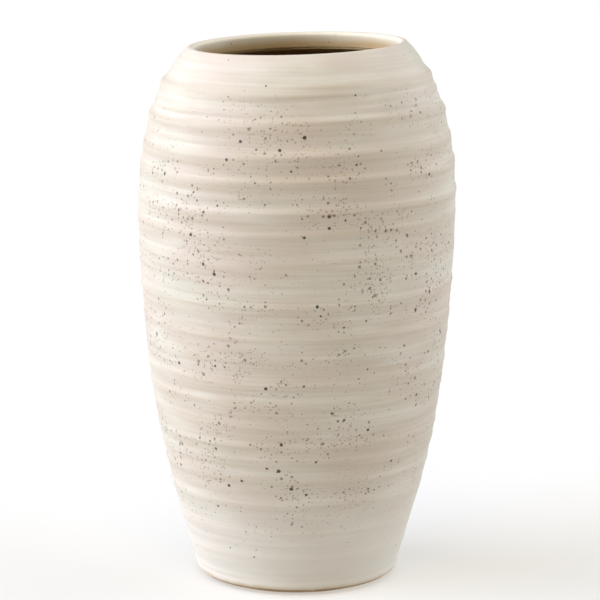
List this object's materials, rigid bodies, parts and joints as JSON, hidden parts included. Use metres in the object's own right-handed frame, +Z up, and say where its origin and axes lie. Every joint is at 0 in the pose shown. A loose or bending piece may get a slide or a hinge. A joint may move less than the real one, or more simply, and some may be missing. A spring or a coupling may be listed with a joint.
{
  "type": "stoneware vase",
  "caption": "Tall ovoid hand-thrown stoneware vase with throwing ridges, a wide thin rounded lip, a trimmed foot ring and speckled matte cream glaze.",
  "frame": {"origin": "on the vase's axis, on the plane its foot ring stands on", "axes": "+Z up through the mouth, +X towards the side that the lip rises to, +Y away from the front"},
  "size_m": [0.1776, 0.1776, 0.3028],
  "materials": {
    "raw_stoneware": "unglazed fired stoneware, fine grog, dry and slightly rough",
    "speckled_matte_glaze": "matte cream glaze with dark iron specks, warmer where it runs thin over the ridges",
    "liner_glaze": "thin satin liner glaze, tan, showing the brown clay through it"
  },
  "bodies": {
    "root": {"stoneware_body": "raw_stoneware", "outer_glaze": "speckled_matte_glaze", "liner_glaze": "liner_glaze"}
  },
  "joints": []
}
